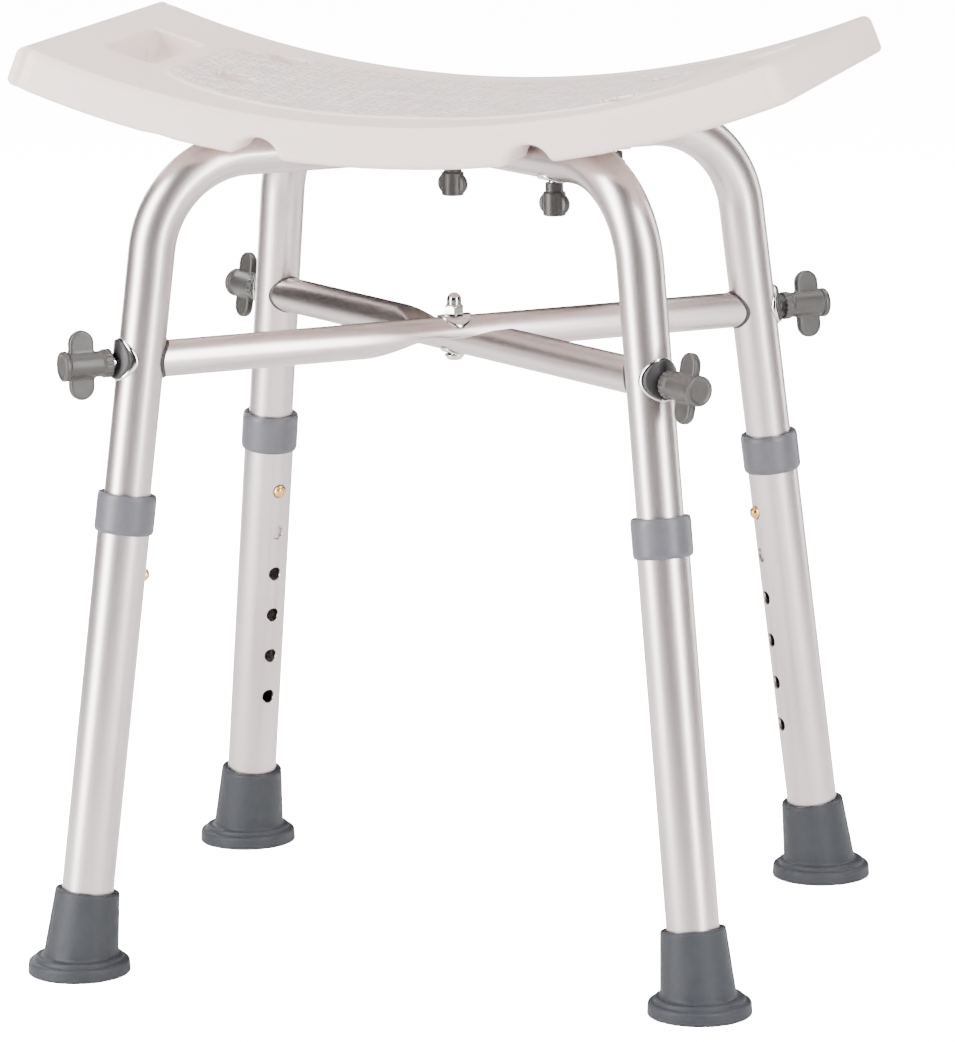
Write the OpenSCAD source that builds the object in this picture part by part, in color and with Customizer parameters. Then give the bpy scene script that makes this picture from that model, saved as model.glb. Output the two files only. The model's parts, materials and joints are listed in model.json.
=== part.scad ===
// Shower stool: a hollow-curved plastic seat on two crossing tube frames,
// with four sliding legs, two crossing brace bars and wing knobs.
// The origin is on the floor under the middle of the seat. +X runs along the
// seat, +Y to its back edge, +Z up. All lengths are in millimetres.

/* [Seat] */
// Length of the seat's upper face, straight from end to end
seat_len = 418; // [400:1:440]
// Depth of the seat, front to back
seat_depth = 239; // [230:1:260]
// Thickness of the seat
seat_thick = 22.5; // [22:0.5:26]
// Radius of the hollow of the seat, seen from the front
seat_r = 565; // [540:5:700]
// Height of the middle of the seat's upper face
seat_h = 466; // [465:0.5:468]
// Length of each handle hole, along the depth of the seat
handle_len = 90; // [70:1:110]
// Width of each handle hole
handle_w = 30; // [26:1:34]
// Distance of each handle hole's middle from the middle of the seat
handle_x = 172; // [168:1:176]
// Diameter of each drain hole
drain_d = 24; // [16:1:28]

/* [Tube frames] */
// Outside diameter of the frame tube
tube_d = 25.4; // [24:0.1:26]
// Wall thickness of the frame tube
tube_wall = 1.2; // [1:0.1:1.5]
// Height of the axis of the tubes' level run under the seat
run_z = 446; // [445:0.5:447]
// Radius of the tubes' bends, on the axis
bend_r = 57; // [50:1:65]
// Distance of each foot's middle from the origin
foot_r = 230.2; // [225:0.2:240]
// Angle of the diagonal of the legs from the X axis
diag = 40.5; // [38:0.5:45]
// Lean of each leg from upright
splay = 7.41; // [6:0.01:9]
// Height of the lower end of the frame tube in its leg
tube_end_z = 183; // [175:1:190]

/* [Leg extensions] */
// Outside diameter of the extension tube
ext_d = 28.6; // [28.2:0.1:29]
// Height of the top of the extension collar, along the leg
collar_top = 266.5; // [262:0.5:270]
// Distance of the snap button from the floor, along the leg
button_s = 221.9; // [218:0.1:225]
// Distance between height holes
hole_pitch = 25.4; // [25:0.1:26]
// Number of height holes in each extension
hole_count = 6; // [4:1:6]
// Diameter of the rubber foot where it meets the floor
foot_d = 56.5; // [50:0.5:60]

/* [Braces] */
// Outside diameter of the brace bars
bar_d = 20; // [19:0.5:21]
// Height of the axis of the brace bars
bar_z = 336.5; // [334:0.5:340]

/* [Knobs] */
// Length of a brace knob from its base to its end face
knob_len = 28; // [24:1:30]
// Width of a brace knob over its wings
knob_span = 38; // [32:1:42]
// Length of a seat screw's handle below its neck
screw_body = 13; // [11:1:15]
// Width of a seat screw over its wings
screw_span = 19; // [17:0.5:22]

/* [Hidden] */
$fn = 64;

// Colours
ivory = "#e0dbd6";
alloy = "#c9c6c3";
grey_plastic = "#6e6f71";
collar_grey = "#84858a";
rubber_grey = "#6c6f74";
black_rubber = "#2b2a2b";
steel = "#b9babc";
brass = "#c9a56a";

// Leg directions round the stool: front left, back left, front right, back right
FL = 180 + diag;
BL = 180 - diag;
FR = -diag;
BR = diag;
LEGS = [FL, BL, FR, BR];

touch = 0.05;                              // gap left between fixed curved faces
fit = 0.05;                                // running gap of a pin or sliding tube
far = 600;                                 // longer than anything that is cut

tube_r = tube_d / 2;
ext_r = ext_d / 2;
ext_bore_r = tube_r + fit;
bar_r = bar_d / 2;
bar_wall = 1.2;

// Places along the bent tube, with r measured out from the middle
bend_z = run_z - bend_r;
bend_start_r = foot_r - bend_r / cos(splay) - bend_z * tan(splay);
bend_end_s = bend_z / cos(splay) + (foot_r - bend_z * tan(splay) - bend_start_r) * sin(splay);
tube_end_s = tube_end_z / cos(splay);
leg_r_at_bar = foot_r - bar_z * tan(splay);
lip = 0.4;                                 // size of the lip inside each bend

// Fasteners
m6_r = 3;
m6_hole_r = 3.3;
lap_half = 17;                             // half length of the flattened crossing of the frames
bar_lap_half = 13;                         // half length of the flattened crossing of the bars
plug_len = 18;
plug_flange = 3;
bar_half = leg_r_at_bar - tube_r / cos(splay) - plug_flange;

// Washers and knobs
saddle_t = 1.2;
saddle_r = 11.6;
centre_saddle_r = 9.6;
rubber_t = 1.5;
rubber_r = 10.8;
knob_base_r = 204.2;                       // where the base of each brace knob starts
neck_r = 7.8;
neck_len = 5;
barrel_r = 7;
end_cap_r = 8.1;
end_cap_len = 3;
wing_t = 5;
wing_w = 14;
wing_start = 9;
stud_tip_r = 156;

// Seat screws, as [x, y, height of the tip]
screw_r = 99;
CENTRE = [0, 0, 464.2];
FRONT = [screw_r * cos(FR), screw_r * sin(FR), 466.5];
BACK = [screw_r * cos(BR), screw_r * sin(BR), 466.5];
SCREWS = [CENTRE, FRONT, BACK];
screw_neck_r = 4.9;
screw_neck_len = 5;
screw_barrel_r = 6.4;
screw_wing_t = 4;
screw_saddle_r = 9.5;
insert_r = 5;

// Channels moulded in the underside of the seat
channel_r = tube_r + 0.3;
notch_x = 75.5;

// Extension, collar, button and foot
collar_r = 16.3;
collar_len = 21.5;
collar_lip = 2;
ext_top_s = collar_top - collar_lip;
ext_end_s = 11;
button_r = 3.8;
button_tip = 17.2;
button_back = 8.8;
button_flange_r = 5.5;
button_flange_t = 1.2;
hole_r = 4;
leaf_t = 0.7;
leaf_w = 8;
leaf_len = 30;
foot_top_s = 46;
foot_flange_h = 7.5;
foot_ledge_h = 10;
foot_ledge_r = 24.5;
foot_cone_low_r = 21;
foot_cone_top_r = 17.7;
disc_t = 2;

// ---- Placing ----

// A frame at the foot of the leg in direction a, with +Z up the leg and +X outwards
module on_leg(a)
    rotate([0, 0, a]) translate([foot_r, 0, 0]) rotate([0, -splay, 0]) children();

// A frame on the brace axis, with +Z pointing outwards in direction a and +X down
module along_bar(a)
    translate([0, 0, bar_z]) rotate([0, 0, a]) rotate([0, 90, 0]) children();

module ring_tube(r, bore, h)
    difference() {
        cylinder(r = r, h = h);
        translate([0, 0, -1]) cylinder(r = bore, h = h + 2);
    }

// ---- Seat ----

seat_out_r = seat_r + seat_thick;
seat_half_angle = asin(seat_len / 2 / seat_r);

// A frame on the seat's upper face at x, with +Z square to it
module on_seat(x)
    translate([0, 0, seat_h + seat_r]) rotate([0, -asin(x / seat_r), 0])
        translate([0, 0, -seat_r]) children();

module seat_slab()
    translate([0, 0, seat_h + seat_r]) rotate([90, 0, 0])
        linear_extrude(seat_depth, center = true)
            intersection() {
                difference() {
                    circle(seat_out_r, $fn = 360);
                    circle(seat_r, $fn = 360);
                }
                polygon([[0, 0], [-far * tan(seat_half_angle) * 1.2, -far * 1.2],
                         [far * tan(seat_half_angle) * 1.2, -far * 1.2]]);
            }

module handle_hole() {
    corner = 5;
    cube([handle_w, handle_len - 2 * corner, 3 * seat_thick], center = true);
    cube([handle_w - 2 * corner, handle_len, 3 * seat_thick], center = true);
    for (i = [-1, 1], j = [-1, 1])
        translate([i * (handle_w / 2 - corner), j * (handle_len / 2 - corner), 0])
            cylinder(r = corner, h = 3 * seat_thick, center = true);
}

module seat() color(ivory) difference() {
    seat_slab();
    for (i = [-1, 1]) on_seat(i * handle_x) handle_hole();
    for (p = [[-113, 65], [-118, -24], [113, -65], [118, 24]])
        on_seat(p[0]) translate([0, p[1], 0])
            cylinder(d = drain_d, h = 3 * seat_thick, center = true);
    // channels for the level runs of the two frames, and two across the seat
    for (a = [FR, BR]) translate([0, 0, run_z]) rotate([0, 0, a]) rotate([0, 90, 0])
        cylinder(r = channel_r, h = far, center = true);
    for (i = [-1, 1]) translate([i * notch_x, 0, run_z]) rotate([90, 0, 0])
        cylinder(r = channel_r, h = far, center = true);
    // blind holes for the threaded inserts
    for (p = SCREWS) translate([p[0], p[1], run_z])
        cylinder(r = insert_r, h = p[2] - run_z);
}

module seat_inserts() color(brass) for (p = SCREWS)
    translate([p[0], p[1], run_z + tube_r + touch])
        ring_tube(insert_r, m6_r + fit, p[2] - run_z - tube_r - touch);

// ---- Frames ----

// Each leg with its bend, as a rod, and the level run between the bends
module leg_and_bend(r, leg_len)
    for (side = [0, 180]) rotate([0, 0, side])
        translate([bend_start_r, 0, bend_z]) rotate([90, 0, 0]) rotate([0, 0, splay]) {
            rotate_extrude(angle = 90 - splay) translate([bend_r, 0]) circle(r);
            translate([bend_r, 0, 0]) rotate([90, 0, 0]) cylinder(r = r, h = leg_len);
        }

module level_run(r, start, end)
    for (side = [0, 180]) translate([0, 0, run_z]) rotate([0, 0, side])
        translate([start, 0, 0]) rotate([0, 90, 0]) cylinder(r = r, h = end - start);

// The half of a crossing's space that the other tube takes: up is 1 or -1
module lap_space(half, r, up)
    translate([0, 0, -up * r]) cube([2 * half, 4 * r, 2 * r + 2 * touch], center = true);

// The hollow inside the flattened half of a tube
module lap_hollow(half, r, wall, up)
    intersection() {
        rotate([0, 90, 0]) cylinder(r = r - wall, h = 2 * (half - wall), center = true);
        translate([0, 0, up * (r + wall + touch)]) cube([2 * half, 4 * r, 2 * r], center = true);
    }

module u_frame(a, up) color(alloy) difference() {
    rotate([0, 0, a]) difference() {
        union() {
            leg_and_bend(tube_r, bend_end_s - tube_end_s);
            translate([-bend_start_r, 0, run_z]) rotate([0, 90, 0])
                cylinder(r = tube_r, h = 2 * bend_start_r);
        }
        // the bore, with a fine lip left where the level run meets each bend
        leg_and_bend(tube_r - tube_wall, bend_end_s - tube_end_s + 1);
        level_run(tube_r - tube_wall, lap_half + tube_wall, bend_start_r - lip);
        level_run(tube_r - tube_wall - lip, lap_half + 2 * tube_wall, bend_start_r + 2 * lip);
        translate([0, 0, run_z]) {
            lap_space(lap_half, tube_r, up);
            lap_hollow(lap_half, tube_r, tube_wall, up);
        }
    }
    // clearance holes for the seat screws
    for (p = SCREWS) translate([p[0], p[1], run_z])
        cylinder(r = m6_hole_r, h = 3 * tube_r, center = true);
    // holes for the brace studs, and for the snap buttons on the inner side
    for (b = [a, a + 180]) {
        along_bar(b) translate([0, 0, leg_r_at_bar])
            cylinder(r = m6_hole_r, h = 3 * tube_r, center = true);
        on_leg(b) translate([0, 0, button_s]) rotate([0, -90, 0])
            cylinder(r = button_r + fit, h = 2 * tube_r);
    }
}

// ---- Braces ----

module brace_bar(a, up) color(alloy) difference() {
    translate([0, 0, bar_z]) rotate([0, 0, a]) difference() {
        rotate([0, 90, 0]) cylinder(r = bar_r, h = 2 * bar_half, center = true);
        for (i = [0, 180]) rotate([0, 0, i]) translate([bar_lap_half + bar_wall, 0, 0])
            rotate([0, 90, 0]) cylinder(r = bar_r - bar_wall, h = bar_half);
        lap_space(bar_lap_half, bar_r, up);
        lap_hollow(bar_lap_half, bar_r, bar_wall, up);
    }
    translate([0, 0, bar_z]) cylinder(r = m6_hole_r, h = 3 * bar_r, center = true);
}

module brace_end_plugs() color(black_rubber) for (a = LEGS) difference() {
    along_bar(a) {
        translate([0, 0, bar_half - plug_len])
            cylinder(r = bar_r - bar_wall - touch, h = plug_len);
        translate([0, 0, bar_half]) cylinder(r = bar_r + 0.6, h = tube_r);
    }
    on_leg(a) cylinder(r = tube_r + touch, h = far);
    along_bar(a) translate([0, 0, bar_half - plug_len - 1])
        cylinder(r = m6_r + fit, h = 2 * plug_len);
}

// A thin washer bent round a tube whose axis is local +X, lying on its +Z side
module saddle(r, thick, tube, bore)
    difference() {
        intersection() {
            cylinder(r = r, h = 2 * tube);
            rotate([0, 90, 0]) cylinder(r = tube + touch + thick, h = 4 * r, center = true);
        }
        rotate([0, 90, 0]) cylinder(r = tube + touch, h = 5 * r, center = true);
        cylinder(r = bore, h = 3 * tube);
    }

module centre_bolt() color(steel) translate([0, 0, bar_z]) {
    under = -bar_r - saddle_t - 2 * touch;
    translate([0, 0, under]) cylinder(r = m6_r, h = bar_r - under + 9);
    intersection() {
        translate([0, 0, under - 3.4]) cylinder(r = 5.6, h = 3.4);
        translate([0, 0, under + 3.2]) sphere(7);
    }
}

module centre_nut() color(steel) translate([0, 0, bar_z + bar_r + saddle_t + 2 * touch])
    difference() {
        union() {
            intersection() {
                cylinder(r = 5.8, h = 5.2, $fn = 6);
                translate([0, 0, -1.6]) sphere(8.4);
            }
            translate([0, 0, 5.2]) cylinder(r = 4.1, h = 2.6);
            translate([0, 0, 7.8]) intersection() {
                sphere(4.1);
                cylinder(r = 5, h = 5);
            }
        }
        translate([0, 0, -1]) cylinder(r = m6_r + fit, h = 10.4);
    }

module centre_washers() color(steel) translate([0, 0, bar_z]) {
    rotate([0, 0, BR]) saddle(centre_saddle_r, saddle_t, bar_r, m6_hole_r);
    rotate([0, 0, FR]) rotate([180, 0, 0]) saddle(8, saddle_t, bar_r, m6_hole_r);
}

// ---- Knobs ----

// Washers between leg and brace knob: shells round the leg, cut out by a disc on the brace axis
module leg_shell(a, r, inner, outer)
    intersection() {
        on_leg(a) translate([0, 0, bar_z / cos(splay) - 30]) ring_tube(outer, inner, 60);
        along_bar(a) translate([0, 0, leg_r_at_bar]) ring_tube(r, m6_hole_r, 3 * tube_r);
    }

module knob_saddle_washers() color(steel) for (a = LEGS)
    leg_shell(a, saddle_r, tube_r + touch, tube_r + touch + saddle_t);

module knob_rubber_washers() color(black_rubber) for (a = LEGS)
    leg_shell(a, rubber_r, tube_r + 2 * touch + saddle_t, tube_r + touch + saddle_t + rubber_t);

// A wing lobe in the local XZ plane, with its round tip up +X
module wing(width, span, thick)
    rotate([90, 0, 0]) linear_extrude(thick, center = true) {
        translate([0, -width / 2]) square([span / 2 - width / 2, width]);
        translate([span / 2 - width / 2, 0]) circle(width / 2);
    }

module brace_knob(a) color(grey_plastic) along_bar(a) translate([0, 0, knob_base_r])
    difference() {
        union() {
            cylinder(r = neck_r, h = neck_len);
            translate([0, 0, neck_len]) cylinder(r = barrel_r, h = knob_len - neck_len - end_cap_len);
            translate([0, 0, knob_len - end_cap_len]) cylinder(r = end_cap_r, h = end_cap_len);
            for (i = [0, 180]) rotate([0, 0, i]) translate([0, 0, wing_start + wing_w / 2])
                wing(wing_w, knob_span, wing_t);
        }
        translate([0, 0, -1]) cylinder(r = m6_r, h = knob_len - 5);
    }

module brace_stud(a) color(steel) along_bar(a) translate([0, 0, stud_tip_r])
    cylinder(r = m6_r, h = knob_base_r + knob_len - 6 - stud_tip_r);

screw_top = run_z - tube_r - saddle_t - 4 * touch;      // where each seat screw's neck starts

module seat_knob(p) color(grey_plastic) translate([p[0], p[1], screw_top]) rotate([180, 0, 0])
    difference() {
        union() {
            cylinder(r = screw_neck_r, h = screw_neck_len);
            translate([0, 0, screw_neck_len]) cylinder(r = screw_barrel_r, h = screw_body);
            for (i = [0, 180]) rotate([0, 0, i + 20])
                translate([0, 0, screw_neck_len + screw_body / 2])
                    wing(screw_body - 1, screw_span, screw_wing_t);
        }
        translate([0, 0, -1]) cylinder(r = m6_r, h = screw_body + 1);
    }

module seat_stud(p) color(steel) translate([p[0], p[1], screw_top - screw_body])
    cylinder(r = m6_r, h = p[2] - 0.6 - screw_top + screw_body);

module seat_screw_washers() color(steel) for (i = [0, 1, 2])
    translate([SCREWS[i][0], SCREWS[i][1], run_z]) rotate([0, 0, i == 2 ? BR : FR])
        rotate([180, 0, 0]) saddle(screw_saddle_r, saddle_t, tube_r, m6_hole_r);

// ---- Sliding legs ----

module leg_extension(a) color(alloy) on_leg(a) difference() {
    translate([0, 0, ext_end_s]) ring_tube(ext_r, ext_bore_r, ext_top_s - ext_end_s);
    for (i = [0 : hole_count - 1])
        translate([0, 0, button_s - i * hole_pitch]) rotate([0, -90, 0])
            cylinder(r = hole_r, h = 2 * ext_r);
}

module collar(a) color(collar_grey) on_leg(a) difference() {
    translate([0, 0, collar_top - collar_len]) ring_tube(collar_r, ext_bore_r, collar_len);
    translate([0, 0, collar_top - collar_len - 1])
        cylinder(r = ext_r + touch, h = collar_len - collar_lip + 1 + touch);
}

// Domed pin on a small flange, pointing inwards through both tubes
module snap_button(a) color(brass) on_leg(a) translate([0, 0, button_s]) rotate([0, -90, 0]) {
    translate([0, 0, button_back]) cylinder(r = button_flange_r, h = button_flange_t);
    translate([0, 0, button_back]) cylinder(r = button_r, h = button_tip - button_r * 0.6 - button_back);
    intersection() {
        translate([0, 0, button_tip - button_r]) sphere(button_r);
        translate([0, 0, button_tip - button_r * 0.6 - 0.001]) cylinder(r = button_r, h = button_r);
    }
}

// Leaf spring folded into a V inside the frame tube, behind the button
module snap_spring(a) color(steel) on_leg(a) translate([0, leaf_w / 2, button_s])
    rotate([90, 0, 0]) linear_extrude(leaf_w)
        difference() {
            polygon([[-button_back + touch, 6], [-button_back + touch, -6], [0, -leaf_len],
                     [3, -leaf_len], [10.6, -4], [10.6, 6]]);
            polygon([[-button_back + touch + leaf_t, 7], [-button_back + touch + leaf_t, -6],
                     [0.6, -leaf_len + leaf_t], [2.5, -leaf_len + leaf_t], [10.6 - leaf_t, -4],
                     [10.6 - leaf_t, 7]]);
        }

module rubber_foot(a) color(rubber_grey) difference() {
    union() {
        rotate([0, 0, a]) translate([foot_r, 0, 0]) {
            cylinder(r = foot_d / 2, h = foot_flange_h);
            cylinder(r = foot_ledge_r, h = foot_ledge_h);
        }
        on_leg(a) translate([0, 0, 4])
            cylinder(r1 = foot_cone_low_r, r2 = foot_cone_top_r, h = foot_top_s - 4);
    }
    on_leg(a) translate([0, 0, ext_end_s - disc_t - touch]) cylinder(r = ext_r + touch, h = far / 2);
}

module foot_disc(a) color(steel) on_leg(a) translate([0, 0, ext_end_s - disc_t])
    cylinder(r = ext_r - 0.2, h = disc_t - touch);

// ---- Nodes ----

seat();
seat_inserts();
u_frame(BR, 1);  // u_frame_1
u_frame(FR, -1);  // u_frame_2
brace_bar(BR, 1);  // brace_bar_upper
brace_bar(FR, -1);  // brace_bar_lower
brace_end_plugs();
centre_bolt();
centre_nut();
centre_washers();
knob_saddle_washers();
knob_rubber_washers();
seat_screw_washers();
brace_knob(FL);  // brace_knob_fl
brace_knob(BL);  // brace_knob_bl
brace_knob(FR);  // brace_knob_fr
brace_knob(BR);  // brace_knob_br
brace_stud(FL);  // brace_stud_fl
brace_stud(BL);  // brace_stud_bl
brace_stud(FR);  // brace_stud_fr
brace_stud(BR);  // brace_stud_br
seat_knob(CENTRE);  // seat_knob_centre
seat_knob(FRONT);  // seat_knob_front
seat_knob(BACK);  // seat_knob_back
seat_stud(CENTRE);  // seat_stud_centre
seat_stud(FRONT);  // seat_stud_front
seat_stud(BACK);  // seat_stud_back
leg_extension(FL);  // leg_extension_fl
leg_extension(BL);  // leg_extension_bl
leg_extension(FR);  // leg_extension_fr
leg_extension(BR);  // leg_extension_br
collar(FL);  // collar_fl
collar(BL);  // collar_bl
collar(FR);  // collar_fr
collar(BR);  // collar_br
snap_button(FL);  // snap_button_fl
snap_button(BL);  // snap_button_bl
snap_button(FR);  // snap_button_fr
snap_button(BR);  // snap_button_br
snap_spring(FL);  // snap_spring_fl
snap_spring(BL);  // snap_spring_bl
snap_spring(FR);  // snap_spring_fr
snap_spring(BR);  // snap_spring_br
rubber_foot(FL);  // rubber_foot_fl
rubber_foot(BL);  // rubber_foot_bl
rubber_foot(FR);  // rubber_foot_fr
rubber_foot(BR);  // rubber_foot_br
foot_disc(FL);  // foot_disc_fl
foot_disc(BL);  // foot_disc_bl
foot_disc(FR);  // foot_disc_fr
foot_disc(BR);  // foot_disc_br
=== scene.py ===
"""Shower stool: the finished look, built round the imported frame.

Sizes are in millimetres, and turn into metres as each mesh is made. The frame has +X along the
seat, +Y to its back edge and +Z up, with its origin on the floor under the middle of the seat.
"""
import json
import math

import bmesh
import bpy
import numpy as np
from mathutils import Matrix, Vector


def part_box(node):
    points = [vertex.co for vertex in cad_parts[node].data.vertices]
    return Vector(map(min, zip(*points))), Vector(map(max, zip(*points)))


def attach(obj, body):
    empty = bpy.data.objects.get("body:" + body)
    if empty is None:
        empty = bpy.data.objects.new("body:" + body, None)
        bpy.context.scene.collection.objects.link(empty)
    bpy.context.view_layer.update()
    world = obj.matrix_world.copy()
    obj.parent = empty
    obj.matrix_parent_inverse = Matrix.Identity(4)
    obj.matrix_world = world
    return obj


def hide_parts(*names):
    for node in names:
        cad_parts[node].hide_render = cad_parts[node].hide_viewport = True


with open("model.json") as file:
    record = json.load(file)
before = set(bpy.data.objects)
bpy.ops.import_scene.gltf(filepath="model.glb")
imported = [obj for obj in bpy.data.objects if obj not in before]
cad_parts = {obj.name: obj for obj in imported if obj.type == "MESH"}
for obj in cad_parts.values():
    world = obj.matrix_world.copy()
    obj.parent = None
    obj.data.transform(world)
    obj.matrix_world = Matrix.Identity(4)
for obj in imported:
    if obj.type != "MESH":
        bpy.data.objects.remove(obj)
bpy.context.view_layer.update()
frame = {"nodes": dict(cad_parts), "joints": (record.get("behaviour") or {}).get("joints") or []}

# ---- Sizes, in millimetres ----

MM = 0.001
CORNERS = ("fl", "bl", "fr", "br")

seat_low, seat_high = (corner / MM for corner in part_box("seat"))
SEAT_DEPTH = seat_high.y - seat_low.y
SEAT_R = 565.0                      # hollow of the seat's upper face
SEAT_THICK = 22.5
SEAT_MID_R = SEAT_R + SEAT_THICK / 2
SEAT_CENTRE_Z = seat_low.z + SEAT_R + SEAT_THICK
SEAT_HALF_ARC = SEAT_MID_R * math.asin(seat_high.x / (SEAT_R + SEAT_THICK))
HANDLE_X, HANDLE_LEN, HANDLE_W = 172.0, 90.0, 30.0
DRAINS = ((-113, 65), (-118, -24), (113, -65), (118, 24))
DRAIN_R = 12.0
CHANNEL_R = 13.0
CROSS_CHANNEL_X = 75.5

TUBE_R, TUBE_WALL = 12.7, 1.2
RUN_Z = 446.0                       # axis of the frame tubes under the seat
BEND_R = 57.0
TUBE_END_Z = 183.0
LAP_HALF, LAP_RAMP = 17.0, 26       # half length of each flattened crossing, and its easing out

EXT_R, EXT_BORE_R = 14.3, 12.75
EXT_START, EXT_END = 11.0, 264.5    # along the leg from the floor
BUTTON_S, HOLE_PITCH, HOLE_COUNT, HOLE_R = 221.9, 25.4, 6, 4.0
COLLAR_TOP, COLLAR_LEN, COLLAR_R = 266.5, 21.5, 16.3

SOLE_R, SOLE_TOP, LEDGE_R, LEDGE_TOP = 28.25, 7.5, 24.5, 10.0
CONE_LOW, CONE_TOP, CONE_R, CONE_TOP_R = 4.0, 46.0, 21.0, 17.7
BOOT_FLOOR = 9.0                    # floor of the boot's pocket, along the leg; the foot disc lies on it

BAR_R, BAR_WALL, BAR_LAP_HALF, BAR_LAP_RAMP = 10.0, 1.2, 13.0, 46
WASHER_T, RUBBER_T, WASHER_BORE = 1.2, 1.5, 3.4
GAP = 0.05                          # between pieces that lie on each other
BRACE_KNOB_R = 204.2                # from the middle to the base of each brace knob


def joint(name):
    return next(j for j in frame["joints"] if j["name"] == name)


LEG_AXIS = {k: Vector(joint(f"leg_{k}_height")["axis"]) for k in CORNERS}
HEADING = {k: math.atan2(-axis.y, -axis.x) for k, axis in LEG_AXIS.items()}
SPLAY = math.acos(LEG_AXIS["fl"].z)
FOOT_R = 230.2                      # from the middle to the centre of each sole
BAR_Z = joint("brace_knob_fl_turn")["pos_m"][2] / MM
LEG_R_AT_BAR = FOOT_R - BAR_Z * math.tan(SPLAY)
SEAT_SCREWS = {k: Vector(joint(f"seat_knob_{k}_turn")["pos_m"]) / MM for k in ("centre", "front", "back")}


# ---- Making meshes ----

def piece(name, mesh, finish, body, replaces=(), place=Matrix(), sharp=38, stock=None, field=None):
    """A finished piece from (vertices in mm, faces). stock keeps each vertex's place on the straight tube,
    and field how far each vertex belongs to the seat's anti-slip field."""
    vertices, faces = mesh
    made = bpy.data.meshes.new(name)
    made.from_pydata([Vector(v) * MM for v in vertices], [], [tuple(int(i) for i in f) for f in faces])
    if stock is not None:
        made.attributes.new("stock", "FLOAT_VECTOR", "POINT").data.foreach_set(
            "vector", (np.asarray(stock, np.float32) * MM).ravel())
    if field is not None:
        made.attributes.new("field", "FLOAT", "POINT").data.foreach_set(
            "value", np.asarray(field, np.float32))
    tool = bmesh.new()
    tool.from_mesh(made)
    bmesh.ops.remove_doubles(tool, verts=tool.verts, dist=2e-6)
    for face in tool.faces:
        face.smooth = True
    for edge in tool.edges:
        edge.smooth = edge.calc_face_angle(0.0) < math.radians(sharp)
    tool.to_mesh(made)
    tool.free()
    made.materials.append(finish)
    metre_place = place.copy()
    metre_place.translation = place.translation * MM
    made.transform(metre_place)
    obj = bpy.data.objects.new(name, made)
    bpy.context.scene.collection.objects.link(obj)
    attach(obj, body)
    if replaces:
        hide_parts(*replaces)
    return obj


def join_rings(count, size, loop=False):
    """Faces between rings of size vertices each; the rings follow each other, and close up with loop."""
    faces = []
    for i in range(count if loop else count - 1):
        a, b = i * size, (i + 1) % count * size
        faces += [(a + j, a + (j + 1) % size, b + (j + 1) % size, b + j) for j in range(size)]
    return faces


def rounded(points, loop=False, steps=4):
    """The outline through (r, z, rounding) points, with an arc at each corner that has a rounding."""
    outline = []
    for i, (x, y, rounding) in enumerate(points):
        corner = Vector((x, y))
        if rounding == 0 or (not loop and i in (0, len(points) - 1)):
            outline.append(tuple(corner))
            continue
        before = (Vector(points[i - 1][:2]) - corner).normalized()
        after = (Vector(points[(i + 1) % len(points)][:2]) - corner).normalized()
        half = before.angle(after) / 2
        centre = corner + (before + after).normalized() * rounding / math.sin(half)
        start = corner + before * rounding / math.tan(half) - centre
        end = corner + after * rounding / math.tan(half) - centre
        turn = start.angle_signed(end)
        for k in range(steps + 1):
            a = -turn * k / steps
            outline.append((centre.x + start.x * math.cos(a) - start.y * math.sin(a),
                            centre.y + start.x * math.sin(a) + start.y * math.cos(a)))
    return outline


def turned(points, loop=False, segments=72, steps=4):
    """A solid of revolution about Z from (r, z, rounding) points, drawn out from the axis, up and back."""
    outline = rounded(points, loop, steps)
    vertices = [(r * math.cos(a), r * math.sin(a), z) for r, z in outline
                for a in (2 * math.pi * j / segments for j in range(segments))]
    return vertices, join_rings(len(outline), segments, loop)


# Blends of distances to a surface, each with a rounding in mm
def both(a, b, rounding):
    return (np.minimum(-rounding, np.maximum(a, b))
            + np.hypot(np.maximum(a + rounding, 0), np.maximum(b + rounding, 0)))


def either(a, b, rounding):
    return -both(-a, -b, rounding)


def oblong(x, y, half_x, half_y, corner):
    """Distance to a flat rectangle with round corners."""
    x, y = np.abs(x) - half_x + corner, np.abs(y) - half_y + corner
    return np.hypot(np.maximum(x, 0), np.maximum(y, 0)) + np.minimum(np.maximum(x, y), 0) - corner


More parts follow.
